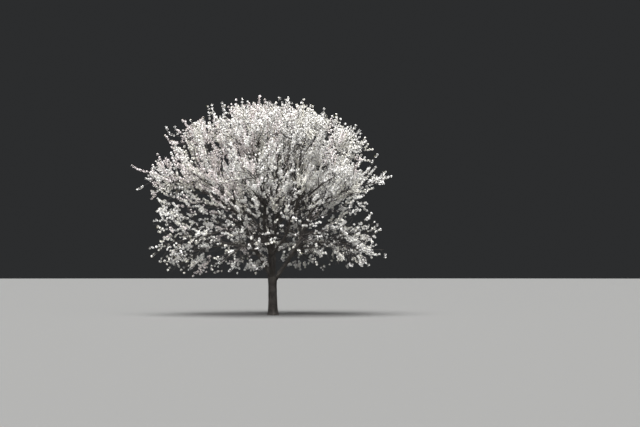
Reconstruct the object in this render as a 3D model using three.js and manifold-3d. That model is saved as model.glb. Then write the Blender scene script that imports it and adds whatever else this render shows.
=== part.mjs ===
// A white cherry tree in full blossom: a short orchard trunk that forks at chest height into rising boughs,
// under a broad, domed crown of blossom sprays. Millimetres, +Z up, origin in the middle of the trunk's foot.
import * as THREE from "three";
import { mergeVertices } from "three/addons/utils/BufferGeometryUtils.js";
import Module from "manifold-3d";

const wasm = await Module();
wasm.setup();

// Driving dimensions of the crown
const CROWN_TOP = 8500;
const CROWN_WIDEST = 5300; // height at which the crown is widest
const SKIRT = 1350; // height of the lowest blossom, at the rim
const REACH = { right: 4700, back: 4450, left: 5450, front: 4450 }; // from the trunk to the outermost tips
const DOME_POWER = 1.9; // how square the crown's shoulders are
const SKIRT_POWER = 5; // how steep its sides are below the widest height
const ARCH = { left: 1600, right: 2300 }; // height of the crown's underside beside the trunk
const ARCH_POWER = 3; // how late the underside falls towards the rim

// Driving dimensions of the trunk
const FORK = 1420;
const TRUNK_TOP = 1600;
const TRUNK_RADIUS = 168;
const TRUNK_TAPER = [1.07, 0.95]; // share of that radius at the ground and at the fork
const TRUNK_HEIGHTS = [0, 60, 140, 240, 380, 620, 900, 1180, 1330, FORK, 1490, 1555, TRUNK_TOP];
const TRUNK_SIDES = 20;
const FLARE = { out: 70, height: 190, lobes: 5, turn: 0.8, depth: 0.45 }; // the root flare at the ground
const FORK_SWELLING = { out: 16, height: 170 };
const HEAD_ROUNDING = 0.9; // how far the trunk's head is drawn in above the fork
const LEAN = { x: -0.012, y: 0.01 }; // sideways travel for each unit of height

// Driving dimensions of the limbs
const CLEAR = 0.3; // gap between pieces that touch on the tree
const CUT_ROOM = 0.1; // and what a cut adds to it, so that rounding never closes the gap
const TOUCH_ROOM = 8; // a twig stays this clear of every limb
const COLLAR = { share: 0.32, length: 150 }; // how much a limb thickens where it leaves its parent
const TAPER_POWER = 0.85;
const LIMB_SIDES = 6;
const LIMB_STEP = 640; // length of a limb's straight facets
const LINE_HANDLES = [0.38, 0.34]; // how long a limb keeps its first and last directions, in shares of span
const SWAY = { share: 0.028, acrossWaves: 1.4, upwardWaves: 1.1 };
const LOW_STAGGER = 180; // the low boughs lie this much above and below their height by turns
const HIGH_ON_BOUGH = 0.62; // where a high bough leaves a sector bough

// Ranks of limbs. A limb starts at from, a height on the trunk or a share of its parent's length. Its tip
// stands at a height, at a share of the crown's reach there. Rise is its angle above level, and radius its
// radius, at its start and at its tip. Ahead is how far past the tip the middle of its blossom lies. Hang is
// the share of a twig's length by which it bends up or down there. The limbs of a rank stand round the trunk
// by equal steps of azimuth from the first, and stray a little.
const RANKS = {
  leader: {
    from: 1250, height: 6650, share: 0.07, rise: [88, 80], radius: [86, 30], ahead: 800, hang: 0.1,
    first: 12, step: 0, stray: { azimuth: 0, height: 0, from: 0, rise: 0 },
  },
  main: {
    from: 1270, fromStep: 28, height: 4850, share: 0.54, rise: [56, 20], radius: [86, 30], ahead: 700,
    hang: -0.04, first: -4, step: 45, stray: { azimuth: 8, height: 150, from: 0, rise: 10 },
  },
  partner: {
    from: 0.24, height: 4650, share: 0.54, rise: [48, 24], radius: [55, 27], ahead: 700, hang: -0.04,
    first: -4, step: 45, stray: { azimuth: 8, height: 150, from: 0, rise: 10 },
  },
  low: {
    from: 0.36, height: 2850, share: 0.54, rise: [16, -12], radius: [38, 23], ahead: 700, hang: -0.02,
    first: -21, step: 45, stray: { azimuth: 6, height: 100, from: 0.12, rise: 10 },
  },
  high: {
    from: 0.4, fromStep: 0.06, height: 6250, share: 0.5, rise: [56, 52], radius: [44, 24], ahead: 640,
    hang: 0.05, count: 6, first: 2, step: 60, stray: { azimuth: 7, height: 160, from: 0, rise: 8 },
  },
  top: {
    from: 0.68, fromStep: 0.06, height: 6900, share: 0.26, rise: [60, 76], radius: [34, 22], ahead: 620,
    hang: 0.15, count: 3, first: 212, step: 120, stray: { azimuth: 0, height: 0, from: 0, rise: 0 },
  },
  inner: {
    from: 0.3, fromStep: 0.1, height: 4150, heightStep: 420, share: 0.22, rise: [30, 30], radius: [30, 20],
    ahead: 420, hang: 0.1, count: 3, first: 250, step: 120,
    stray: { azimuth: 0, height: 0, from: 0, rise: 0 },
  },
};

// Sprays: each stands for a shoot set with clusters of blossom
const SPRAY = { length: 900, width: 480, thickness: 350 };
const STEM_SPRAY = 0.9; // size of the spray at a stem's end against one at a twig's end
const SIDE_SPRAY = 0.85; // and of a spray at a side
const SIDE_OPENNESS = 52; // angle between a side spray and what it leaves, in degrees
const SIDE_SPRAYS = { stem: [0.35, 0.75], twig: [0.5] }; // their places, as shares of the length
const FITTING_SIZES = [1, 0.84, 0.7, 0.56, 0.44]; // sizes tried until a twig or spray fits its space

// Stems and twigs
const STEM_LENGTH = { longest: 1900, shortest: 500, step: 100 };
const STEM_TIP_RADIUS = 17;
const TWIGS = { count: 8, from: 0.06, to: 0.9 }; // the twigs of one stem and the shares of it that they leave
const TWIG_LENGTH = [900, 420]; // bare length near the stem's foot and near its tip
const TWIG_OPENNESS = [78, 46]; // angle between twig and stem, in degrees, at those places
const TWIG_SHARE = 0.5; // radius of a twig's root against the stem there
const TWIG_TIP_RADIUS = 7;
const TWIG_TURN_STRAY = 0.7; // how far a twig may turn past its place round the stem, in radians
const SPACE_MARGIN = 14; // room between two masses' spaces

const TAU = 2 * Math.PI;
const GOLDEN_TURN = TAU * (1 - 2 / (1 + Math.sqrt(5)));
const UP = new THREE.Vector3(0, 0, 1);
const SECTORS = ["right", "back_right", "back", "back_left", "left", "front_left", "front", "front_right"];
const SECTOR_STEP = 360 / SECTORS.length;

// The items of a limb's own series of draws: what each of them decides, and where a run of them starts
const ITEM = {
  across: 1, upward: 2, from: 3, azimuth: 4, height: 5, stem: 6, rise: 39, twig: 100, side: 200, turn: 300,
};

// A repeatable draw between 0 and 1 for item k of series s.
function draw(s, k) {
  const wave = Math.sin(s * 12.9898 + k * 78.233) * 43758.5453;
  return wave - Math.floor(wave);
}

const spread = (s, k, most) => (2 * draw(s, k) - 1) * most;
const mix = ([a, b], share) => a + (b - a) * share;
const radians = THREE.MathUtils.degToRad;

// The crown's outline

function reachTowards(azimuth) {
  const x = Math.cos(azimuth);
  const y = Math.sin(azimuth);
  return 1 / Math.hypot(x / (x > 0 ? REACH.right : REACH.left), y / (y > 0 ? REACH.back : REACH.front));
}

function reachAtHeight(azimuth, z) {
  const above = z > CROWN_WIDEST;
  const power = above ? DOME_POWER : SKIRT_POWER;
  const share = Math.abs(z - CROWN_WIDEST) / (above ? CROWN_TOP - CROWN_WIDEST : CROWN_WIDEST - SKIRT);
  return reachTowards(azimuth) * Math.max(0, 1 - share ** power) ** (1 / power);
}

// The underside is an arch: low at the rim, and higher on the right of the trunk than on the left.
function undersideAt(azimuth, radius) {
  const arch = mix([ARCH.left, ARCH.right], (1 + Math.cos(azimuth)) / 2);
  return mix([arch, SKIRT], Math.min(1, radius / reachTowards(azimuth)) ** ARCH_POWER);
}

function insideCrown(point) {
  const azimuth = Math.atan2(point.y, point.x);
  const radius = Math.hypot(point.x, point.y);
  return radius <= reachAtHeight(azimuth, point.z) && point.z >= undersideAt(azimuth, radius);
}

// A place in the crown: an azimuth, a height and a share of the reach there.
function crownPlace(azimuth, z, share) {
  const radius = reachAtHeight(azimuth, z) * share;
  return new THREE.Vector3(radius * Math.cos(azimuth), radius * Math.sin(azimuth), z);
}

// A direction that points out from the trunk and rises by an angle.
function heading(azimuth, rise) {
  return new THREE.Vector3(
    Math.cos(azimuth) * Math.cos(rise),
    Math.sin(azimuth) * Math.cos(rise),
    Math.sin(rise),
  );
}

// Skins and solids

// Rings of points joined into one closed skin, with a flat face over each end. Neighbouring rings may have
// different numbers of points, and a ring of one point is a pointed end.
function skin(rings) {
  const index = [];
  let first = 0;
  rings.slice(1).forEach((next, n) => {
    const ring = rings[n];
    const above = first + ring.length;
    const turns = { here: ring.length > 1 ? ring.length : 0, there: next.length > 1 ? next.length : 0 };
    for (let i = 0, j = 0; i < turns.here || j < turns.there; ) {
      const here = first + (i % ring.length);
      const there = above + (j % next.length);
      const thereIsBehind = i === turns.here || (j + 0.5) / turns.there <= (i + 0.5) / turns.here;
      if (j < turns.there && thereIsBehind) {
        j += 1;
        index.push(here, above + (j % next.length), there);
      } else {
        i += 1;
        index.push(here, first + (i % ring.length), there);
      }
    }
    first = above;
  });
  const last = rings.at(-1);
  for (let side = 1; side + 1 < rings[0].length; side++) index.push(0, side + 1, side);
  for (let side = 1; side + 1 < last.length; side++) index.push(first, first + side, first + side + 1);
  const geometry = new THREE.BufferGeometry();
  geometry.setAttribute(
    "position",
    new THREE.Float32BufferAttribute(rings.flat().flatMap((point) => point.toArray()), 3),
  );
  geometry.setIndex(index);
  return geometry;
}

// A ring of points round a middle, wide along one direction and thick along the other.
function ringOf(middle, along, across, width, thickness, sides) {
  return Array.from({ length: sides }, (_, side) => {
    const turn = (TAU * side) / sides;
    return middle
      .clone()
      .addScaledVector(along, (width / 2) * Math.cos(turn))
      .addScaledVector(across, (thickness / 2) * Math.sin(turn));
  });
}

// The rings of a round skin of varying radius along a curve.
function tubeRings(curve, radiusAt, sides, steps) {
  const { normals, binormals } = curve.computeFrenetFrames(steps, false);
  return normals.map((normal, step) => {
    const across = 2 * radiusAt(step / steps);
    return ringOf(curve.getPointAt(step / steps), normal, binormals[step], across, across, sides);
  });
}

function solidFrom(geometry) {
  const bare = geometry.clone();
  bare.deleteAttribute("normal");
  bare.deleteAttribute("uv");
  const merged = mergeVertices(bare, 1e-3);
  return new wasm.Manifold(
    new wasm.Mesh({
      numProp: 3,
      vertProperties: new Float32Array(merged.attributes.position.array),
      triVerts: new Uint32Array(merged.index.array),
    }),
  );
}

// The largest body of a solid, with no scraps and no sealed hollows.
function largestBody(solid) {
  return solid.decompose().reduce((best, body) => (body.volume() > best.volume() ? body : best));
}

function geometryFrom(solid) {
  const { numProp, vertProperties, triVerts } = solid.getMesh();
  const geometry = new THREE.BufferGeometry();
  const points = Array.from({ length: vertProperties.length / numProp }, (_, i) =>
    Array.from(vertProperties.subarray(i * numProp, i * numProp + 3)),
  );
  geometry.setAttribute("position", new THREE.Float32BufferAttribute(points.flat(), 3));
  geometry.setIndex(new THREE.BufferAttribute(new Uint32Array(triVerts), 1));
  geometry.computeVertexNormals();
  return geometry;
}

// The trunk: a lobed root flare at the ground, a slight waist, and a swelling at the fork.
function trunkMiddle(z) {
  return new THREE.Vector3(LEAN.x * z, LEAN.y * z, z);
}

function trunkRadius(z, turn) {
  const lobes = 1 - FLARE.depth + FLARE.depth * Math.cos(FLARE.lobes * turn + FLARE.turn);
  const flare = FLARE.out * Math.exp(-z / FLARE.height) * lobes;
  const swelling = FORK_SWELLING.out * Math.exp(-(((z - FORK) / FORK_SWELLING.height) ** 2));
  const head = Math.max(0, (z - FORK) / (TRUNK_TOP - FORK));
  const bare = TRUNK_RADIUS * mix(TRUNK_TAPER, z / FORK) + flare + swelling;
  return bare * Math.sqrt(1 - HEAD_ROUNDING * head ** 2);
}

function trunkGeometry(grow = 0) {
  return skin(
    TRUNK_HEIGHTS.map((z) =>
      Array.from({ length: TRUNK_SIDES }, (_, side) => {
        const turn = (TAU * side) / TRUNK_SIDES;
        const radius = trunkRadius(z, turn) + grow;
        const rise = z === TRUNK_TOP ? grow : 0;
        return trunkMiddle(z).add(new THREE.Vector3(radius * Math.cos(turn), radius * Math.sin(turn), rise));
      }),
    ),
  );
}

// A limb's line: a curve from its parent to its tip, with a slow sway to each side of it.
class LimbLine extends THREE.CubicBezierCurve3 {
  constructor(start, setOff, tip, arrive, series) {
    const span = start.distanceTo(tip);
    super(
      start,
      start.clone().addScaledVector(setOff, span * LINE_HANDLES[0]),
      tip.clone().addScaledVector(arrive, -span * LINE_HANDLES[1]),
      tip,
    );
    this.series = series;
    this.sway = span * SWAY.share;
    this.across = tip.clone().sub(start).cross(UP).normalize();
    this.upward = this.across.clone().cross(tip.clone().sub(start)).normalize();
  }

  getPoint(t, target = new THREE.Vector3()) {
    super.getPoint(t, target);
    const swell = this.sway * Math.sin(Math.PI * t) ** 2;
    const across = swell * Math.sin(TAU * (SWAY.acrossWaves * t + draw(this.series, ITEM.across)));
    const upward = swell * Math.sin(TAU * (SWAY.upwardWaves * t + draw(this.series, ITEM.upward)));
    return target.addScaledVector(this.across, across).addScaledVector(this.upward, upward);
  }
}

class Limb {
  constructor(name, rank, start, azimuth, height, series) {
    Object.assign(this, { name, series, rank });
    const tip = crownPlace(azimuth, height, rank.share);
    const outward = Math.atan2(tip.y - start.y, tip.x - start.x);
    const setOff = heading(outward, radians(rank.rise[0] + spread(series, ITEM.rise, rank.stray.rise)));
    const arrival = heading(azimuth, radians(rank.rise[1]));
    this.line = new LimbLine(start, setOff, tip, arrival, series);
    this.site = tip.clone().addScaledVector(arrival, rank.ahead); // the middle of its blossom's space
    this.length = this.line.getLength();
  }

  radiusAt(share) {
    const [root, tip] = this.rank.radius;
    const collar = root * COLLAR.share * Math.exp((-share * this.length) / COLLAR.length);
    return tip + (root - tip) * (1 - share) ** TAPER_POWER + collar;
  }

  geometry(grow = 0) {
    const steps = Math.max(3, Math.round(this.length / LIMB_STEP));
    return skin(tubeRings(this.line, (share) => this.radiusAt(share) + grow, LIMB_SIDES, steps));
  }
}

// The skeleton
const limbs = new Map();

// Limb number i of a rank, on the trunk or on a parent.
function grow(name, rankName, i, parent, from) {
  const rank = RANKS[rankName];
  const series = limbs.size + 1;
  const place = from ?? rank.from + (rank.fromStep ?? 0) * i + spread(series, ITEM.from, rank.stray.from);
  const start = parent ? limbs.get(parent).line.getPointAt(place) : trunkMiddle(place);
  const azimuth = rank.first + rank.step * i + spread(series, ITEM.azimuth, rank.stray.azimuth);
  const stagger = rankName === "low" ? LOW_STAGGER * (i % 2 ? 1 : -1) : 0;
  const level = rank.height + (rank.heightStep ?? 0) * i + stagger;
  const height = level + spread(series, ITEM.height, rank.stray.height);
  limbs.set(name, new Limb(name, rank, start, radians(azimuth), height, series));
}

function growSkeleton() {
  // The leader rises from the fork to the middle of the dome.
  grow("leader", "leader", 0, null);
  // Four main boughs leave the trunk's head, and each gives off a partner a little way up.
  SECTORS.forEach((sector, i) => {
    if (i % 2 === 0) grow(`${sector}_bough`, "main", i, null);
    else grow(`${sector}_bough`, "partner", i, `${SECTORS[i - 1]}_bough`);
  });
  // The low boughs leave the sides of these and droop a little.
  SECTORS.forEach((sector, i) => grow(`low_${sector}_bough`, "low", i, `${sector}_bough`));
  // The high boughs climb from the leader and from sector boughs, by turns, into the dome's shoulders.
  const { first, step, count } = RANKS.high;
  for (let i = 0; i < count; i++) {
    const nearest = SECTORS[Math.round((first + step * i) / SECTOR_STEP) % SECTORS.length];
    if (i % 2 === 0) grow(`high_bough_${i + 1}`, "high", i, "leader");
    else grow(`high_bough_${i + 1}`, "high", i, `${nearest}_bough`, HIGH_ON_BOUGH);
  }
  // The top boughs fill the dome round the leader, and short inner ones carry blossom inside the crown.
  for (let i = 0; i < RANKS.top.count; i++) grow(`top_bough_${i + 1}`, "top", i, "leader");
  for (let i = 0; i < RANKS.inner.count; i++) grow(`inner_bough_${i + 1}`, "inner", i, "leader");
}

// Blossom

// Each mass keeps to the part of the crown that is nearer to its own site than to any other.
function insideSpace(limb, point) {
  const own = point.distanceToSquared(limb.site);
  for (const other of limbs.values()) {
    if (other === limb) continue;
    const room = 2 * SPACE_MARGIN * limb.site.distanceTo(other.site);
    if (own + room > point.distanceToSquared(other.site)) return false;
  }
  return insideCrown(point);
}

// A twig's line: it leaves along one direction and bends by a share of its length up or down.
function twigLine(start, direction, length, hang) {
  const bend = new THREE.Vector3(0, 0, length * hang);
  return new THREE.QuadraticBezierCurve3(
    start,
    start.clone().addScaledVector(direction, length / 2),
    start.clone().addScaledVector(direction, length).add(bend),
  );
}

// Twig or side spray number k turns by the golden angle round what carries it, at an angle to that.
function turnedDirection(along, k, stray, openness) {
  const turn = k * GOLDEN_TURN + stray * TWIG_TURN_STRAY;
  const side = UP.clone().cross(along).normalize().applyAxisAngle(along, turn);
  return along.clone().multiplyScalar(Math.cos(openness)).addScaledVector(side, Math.sin(openness));
}

// The rings of a spray: a flattened four-sided girdle and a pointed tip, past the place where it starts.
function sprayRings(start, direction, turn, size) {
  const level = UP.clone().cross(direction).normalize().applyAxisAngle(direction, turn);
  const upright = direction.clone().cross(level);
  const girdle = start.clone().addScaledVector(direction, (SPRAY.length * size) / 2);
  const tip = start.clone().addScaledVector(direction, SPRAY.length * size);
  return [ringOf(girdle, level, upright, SPRAY.width * size, SPRAY.thickness * size, 4), [tip]];
}

// The solid of some rings, where they keep to the mass's space and touch no limb and no earlier spray.
function fitted(limb, rings, taken) {
  if (!rings.flat().every((point) => insideSpace(limb, point))) return null;
  const solid = solidFrom(skin(rings));
  return taken.some((other) => !other.intersect(solid).isEmpty()) ? null : solid;
}

// A twig that ends in a spray, as one skin, and that spray by itself.
function sprayedTwig(limb, start, direction, length, rootRadius, turn, taken) {
  for (const size of FITTING_SIZES) {
    const line = twigLine(start, direction, length * size, limb.rank.hang);
    const rings = tubeRings(line, (along) => mix([rootRadius, TWIG_TIP_RADIUS], along), 3, 1);
    const end = line.getPoint(1);
    const spray = sprayRings(end, line.getTangentAt(1), turn, size);
    const solid = fitted(limb, [...rings, ...spray], taken);
    if (solid) return { line, solid, spray: solidFrom(skin([[end], ...spray])) };
  }
  return null;
}

// A spray at the side of a line, whose pointed root lies on the line itself.
function sideSpray(limb, line, along, k, taken) {
  const root = line.getPointAt(along);
  const stray = draw(limb.series, ITEM.side + k);
  const direction = turnedDirection(line.getTangentAt(along), k, stray, radians(SIDE_OPENNESS));
  for (const size of FITTING_SIZES) {
    const spray = sprayRings(root, direction, stray * TAU, size * SIDE_SPRAY);
    const solid = fitted(limb, [[root], ...spray], taken);
    if (solid) return solid;
  }
  return null;
}

const stemRadius = (limb, along) => mix([limb.rank.radius[1], STEM_TIP_RADIUS], along);

// The stem carries on from the bough's tip, is as long as its space allows, and ends in a spray.
function sprayedStem(limb) {
  const tangent = limb.line.getTangentAt(1);
  const start = limb.line.getPointAt(1).addScaledVector(tangent, CLEAR);
  for (let length = STEM_LENGTH.longest; length >= STEM_LENGTH.shortest; length -= STEM_LENGTH.step) {
    const line = twigLine(start, tangent, length, limb.rank.hang);
    const rings = tubeRings(line, (along) => stemRadius(limb, along), 3, 3);
    const end = line.getPoint(1);
    const turn = draw(limb.series, ITEM.stem) * TAU;
    const spray = sprayRings(end, line.getTangentAt(1), turn, STEM_SPRAY);
    if (!fitted(limb, [...rings.slice(1), ...spray], [])) continue;
    return { line, solid: solidFrom(skin([...rings, ...spray])), spray: solidFrom(skin([[end], ...spray])) };
  }
  throw new Error(`${limb.name} has no room for a stem`);
}

// Twig number k of a stem.
function twigOf(limb, stem, k, taken) {
  const along = mix([TWIGS.from, TWIGS.to], k / (TWIGS.count - 1));
  const start = stem.line.getPointAt(along);
  const openness = radians(mix(TWIG_OPENNESS, along));
  const stray = draw(limb.series, ITEM.twig + k);
  const direction = turnedDirection(stem.line.getTangentAt(along), k, stray, openness);
  const turn = draw(limb.series, ITEM.turn + k) * TAU;
  const rootRadius = stemRadius(limb, along) * TWIG_SHARE;
  return sprayedTwig(limb, start, direction, mix(TWIG_LENGTH, along), rootRadius, turn, taken);
}

// One mass of blossom: a stem, its twigs and their sprays, fused. Sprays grow only where there is room.
function blossomSolid(limb, wood) {
  const stem = sprayedStem(limb);
  const pieces = [stem.solid];
  const taken = [wood, stem.spray];
  let sides = 0;
  const addSideSprays = (line, places) =>
    places.forEach((along) => {
      sides += 1;
      const spray = sideSpray(limb, line, along, sides, taken);
      if (!spray) return;
      pieces.push(spray);
      taken.push(spray);
    });
  for (let k = 0; k < TWIGS.count; k++) {
    const twig = twigOf(limb, stem, k, taken);
    if (!twig) continue;
    pieces.push(twig.solid);
    taken.push(twig.spray);
    addSideSprays(twig.line, SIDE_SPRAYS.twig);
  }
  addSideSprays(stem.line, SIDE_SPRAYS.stem);
  return largestBody(pieces.reduce((mass, piece) => mass.add(piece)));
}

// Assembly

const bark = new THREE.MeshStandardMaterial({ name: "bark", color: 0x2b2725, roughness: 0.92 });
const petals = new THREE.MeshStandardMaterial({ name: "blossom", color: 0xe9e5e1, roughness: 0.7 });
const tree = new THREE.Group();

function place(name, geometry, material) {
  const mesh = new THREE.Mesh(geometry, material);
  mesh.name = name;
  tree.add(mesh);
}

growSkeleton();
place("trunk", trunkGeometry(), bark);

// Each limb is cut clear of the wood that was there before it.
let earlierWood = solidFrom(trunkGeometry(CLEAR + CUT_ROOM));
let woodWithRoom = solidFrom(trunkGeometry(TOUCH_ROOM));
for (const limb of limbs.values()) {
  place(limb.name, geometryFrom(largestBody(solidFrom(limb.geometry()).subtract(earlierWood))), bark);
  earlierWood = earlierWood.add(solidFrom(limb.geometry(CLEAR + CUT_ROOM)));
  woodWithRoom = woodWithRoom.add(solidFrom(limb.geometry(TOUCH_ROOM)));
}
for (const limb of limbs.values()) {
  const name = limb.name === "leader" ? "leader_blossom" : limb.name.replace("bough", "blossom");
  place(name, geometryFrom(blossomSolid(limb, woodWithRoom)), petals);
}

export default tree;
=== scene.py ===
import bpy
import numpy as np
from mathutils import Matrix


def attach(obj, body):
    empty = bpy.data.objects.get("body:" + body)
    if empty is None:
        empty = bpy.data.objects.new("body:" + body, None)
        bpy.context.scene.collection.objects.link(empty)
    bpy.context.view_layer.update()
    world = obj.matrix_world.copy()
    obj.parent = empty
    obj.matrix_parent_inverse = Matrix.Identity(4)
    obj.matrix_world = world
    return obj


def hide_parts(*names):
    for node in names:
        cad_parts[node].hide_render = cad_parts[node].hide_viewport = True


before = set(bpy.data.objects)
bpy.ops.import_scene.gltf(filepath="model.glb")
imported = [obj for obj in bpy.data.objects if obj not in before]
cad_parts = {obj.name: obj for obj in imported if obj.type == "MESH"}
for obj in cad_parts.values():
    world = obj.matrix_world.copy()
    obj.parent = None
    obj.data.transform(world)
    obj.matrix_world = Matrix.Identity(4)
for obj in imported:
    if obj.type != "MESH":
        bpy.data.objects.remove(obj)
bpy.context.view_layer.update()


# The trunk
# A clear stem of sound timber under dark, ringed bark. It spreads into a lobed flare at the ground, where the
# bark is split into rough plates, and swells again at the fork, where the boughs leave.
TAU = 2 * np.pi
UP = np.array([0.0, 0.0, 1.0])
FORK = 1.42
TRUNK_TOP = 1.6
TRUNK_RADIUS = 0.168
TRUNK_TAPER = (1.07, 0.95)
FLARE = {"out": 0.07, "height": 0.19, "lobes": 5, "turn": 0.8, "depth": 0.45}
FORK_SWELLING = {"out": 0.016, "height": 0.17}
HEAD_ROUNDING = 0.9
LEAN = np.array([-0.012, 0.01, 1.0])
TRUNK_GRID = (200, 190)  # round the trunk and up it
TRUNK_CROWDING = 1.15  # how its rings crowd towards the ground
TRUNK_SERIES = 40
PLATES = {"around": 13, "length": 0.1}  # cells of the bark near the ground
CRACKS = {"depth": 0.009, "edge": 0.22, "height": 0.42}  # between them: the edge is a value of their noise
WANDER = {"most": 0.6, "around": 7, "length": 0.09}  # of the cracks to the side, in cells
NOISE_SHIFT = 500  # keeps the numbers of a noise's cells above nought

# The bark's relief: its height (for swells a share of the limb's radius), the width and length of its noise's
# cells, the fewest of them round a limb, and its series.
RELIEF = {
    "swells": (0.018, 0.12, 0.16, 3, 0),
    "pores": (0.0022, 0.06, 0.02, 4, 11),
    "grain": (0.0008, 0.02, 0.03, 6, 23),
}
PORES_FROM = 0.3  # the noise above which pores stand up
BARK_COLOURS = {
    "ground": (0.019, 0.016, 0.014),
    "weathered": (0.078, 0.071, 0.064),
    "grain": (0.01, 0.009, 0.008),
    "pores": (0.12, 0.082, 0.058),
}


def mix(ends, share):
    """The value at a share of the way from the first end to the last."""
    return ends[0] + (ends[1] - ends[0]) * share


def way_up(value, ends):
    """How far a value has come from the first end to the last, from nought to one."""
    return np.clip((value - ends[0]) / (ends[1] - ends[0]), 0, 1)


def unit(vectors):
    """Vectors brought to a length of one."""
    return vectors / np.linalg.norm(vectors, axis=-1, keepdims=True)


def draw(series, item):
    """A repeatable number from 0 to 1 for an item of a series: the fraction left by a large sine."""
    wave = np.sin(series * 12.9898 + item * 78.233) * 43758.5453
    return wave - np.floor(wave)


def smooth_noise(around, along, cells, series):
    """Noise from -1 to 1 over square cells. Each corner of a cell has its own draw, and between corners the
    value follows 3t² - 2t³. It closes on itself after a whole number of cells around."""
    column, row = np.floor(around), np.floor(along)
    across, up = around - column, along - row
    across, up = across * across * (3 - 2 * across), up * up * (3 - 2 * up)

    def corner(c, r):
        return draw(series + 0.37 * np.mod(c, cells), r + NOISE_SHIFT)

    low = mix((corner(column, row), corner(column + 1, row)), across)
    high = mix((corner(column, row + 1), corner(column + 1, row + 1)), across)
    return 2 * mix((low, high), up) - 1


def bark_relief(turn, along, girth, series):
    """Height of the bark over the wood, from broad swells, rings of raised pores and fine grain. Each is
    noise over cells of its own size."""

    def layer(kind):
        _, wide, long, fewest, own_series = RELIEF[kind]
        cells = max(fewest, round(girth / wide))
        return smooth_noise(turn * cells, along / long, cells, series + own_series)

    swells = RELIEF["swells"][0] * girth / TAU * layer("swells")
    pores = RELIEF["pores"][0] * np.clip(layer("pores") - PORES_FROM, 0, None)
    return swells + pores + RELIEF["grain"][0] * layer("grain")


def trunk_radius(z, turn):
    """A tapering stem, with a flare that dies away upwards and stands out in lobes, a swelling at the fork,
    and a head that is drawn in above it."""
    lobes = 1 - FLARE["depth"] + FLARE["depth"] * np.cos(FLARE["lobes"] * turn * TAU + FLARE["turn"])
    flare = FLARE["out"] * np.exp(-z / FLARE["height"]) * lobes
    swelling = FORK_SWELLING["out"] * np.exp(-(((z - FORK) / FORK_SWELLING["height"]) ** 2))
    head = np.clip((z - FORK) / (TRUNK_TOP - FORK), 0, None)
    bare = TRUNK_RADIUS * mix(TRUNK_TAPER, z / FORK) + flare + swelling
    return bare * np.sqrt(1 - HEAD_ROUNDING * head**2)


def plates(turn, z):
    """Cracks between the plates of old bark: deep where a noise is near nought, and only near the ground."""
    cells, wide = PLATES["around"], WANDER["around"]
    wander = WANDER["most"] * smooth_noise(turn * wide, z / WANDER["length"], wide, 5)
    cracks = np.abs(smooth_noise(turn * cells + wander, z / PLATES["length"], cells, 3))
    return -CRACKS["depth"] * np.clip(1 - cracks / CRACKS["edge"], 0, 1) * np.exp(-z / CRACKS["height"])


def tube(middles, radii, across):
    """Closed skins round many lines at once. Each ring stands square to its line, as a circle of the ring's
    radii turned from the direction across, and a point closes each end. Lines, rings, sides and coordinates
    are the axes of the arrays."""
    lines, rings, sides = radii.shape
    tangent = unit(np.gradient(middles, axis=1))
    leaning = np.sum(across[:, None, :] * tangent, axis=2, keepdims=True)
    side = unit(across[:, None, :] - tangent * leaning)
    other = np.cross(tangent, side)
    turn = TAU * np.arange(sides) / sides
    spokes = np.cos(turn)[:, None] * side[:, :, None, :] + np.sin(turn)[:, None] * other[:, :, None, :]
    skins = (middles[:, :, None, :] + radii[..., None] * spokes).reshape(lines, rings * sides, 3)
    points = np.concatenate([skins, middles[:, [0, -1]]], axis=1).reshape(-1, 3)

    k = np.arange(sides)
    beyond = (k + 1) % sides
    row = (sides * np.arange(rings - 1))[:, None]
    walls = np.stack([row + k, row + beyond, row + beyond + sides, row + k + sides], axis=-1).reshape(-1, 4)
    last = (rings - 1) * sides
    root_cap = np.stack([np.full(sides, rings * sides), beyond, k], axis=1)
    tip_cap = np.stack([np.full(sides, rings * sides + 1), last + k, last + beyond], axis=1)
    caps = np.concatenate([root_cap, tip_cap])
    offset = (np.arange(lines) * (rings * sides + 2))[:, None, None]
    return points, [(walls + offset).reshape(-1, 4), (caps + offset).reshape(-1, 3)]


def put(name, data):
    """A new object in the scene."""
    placed = bpy.data.objects.new(name, data)
    bpy.context.scene.collection.objects.link(placed)
    return placed


def new_piece(name, skin, material, nodes):
    """A mesh at the origin from an array of points and arrays of faces, which rides with the tree and stands
    for some of its solids."""
    points, faces = skin
    corners = np.concatenate([face.ravel() for face in faces]).astype(np.int32)
    sizes = np.concatenate([np.full(len(face), face.shape[1]) for face in faces])
    starts = (np.cumsum(sizes) - sizes).astype(np.int32)
    mesh = bpy.data.meshes.new(name)
    mesh.vertices.add(len(points))
    mesh.vertices.foreach_set("co", points.astype(np.float32).ravel())
    mesh.loops.add(len(corners))
    mesh.loops.foreach_set("vertex_index", corners)
    mesh.polygons.add(len(sizes))
    mesh.polygons.foreach_set("loop_start", starts)
    mesh.polygons.foreach_set("use_smooth", np.full(len(sizes), True))
    mesh.update(calc_edges=True)
    mesh.materials.append(material)
    piece = put(name, mesh)
    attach(piece, "root")
    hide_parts(*nodes)
    return piece


def add_bark(limb_name, skin, sides, girths, lengths):
    """A limb's surface, with a map of its bark in metres: round the limb, and along it. A face with a corner
    in the last quarter of the turn takes those in the first as a whole turn further on."""
    piece = new_piece(f"{limb_name}_bark", skin, bark, [limb_name])
    turn = np.append(np.tile(np.arange(sides) / sides, len(lengths)), [0.5, 0.5])
    along = np.append(np.repeat(lengths, sides), [lengths[0], lengths[-1]])
    girth = np.append(np.repeat(girths, sides), [girths[0], girths[-1]])
    places = []
    for corners in skin[1]:
        turns = turn[corners]
        turns = turns + ((turns.max(axis=1, keepdims=True) > 0.75) & (turns < 0.25))
        places.append(np.stack([turns * girth[corners], along[corners]], axis=-1).ravel())
    layer = piece.data.uv_layers.new(name="bark")
    layer.data.foreach_set("uv", np.concatenate(places).astype(np.float32))


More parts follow.
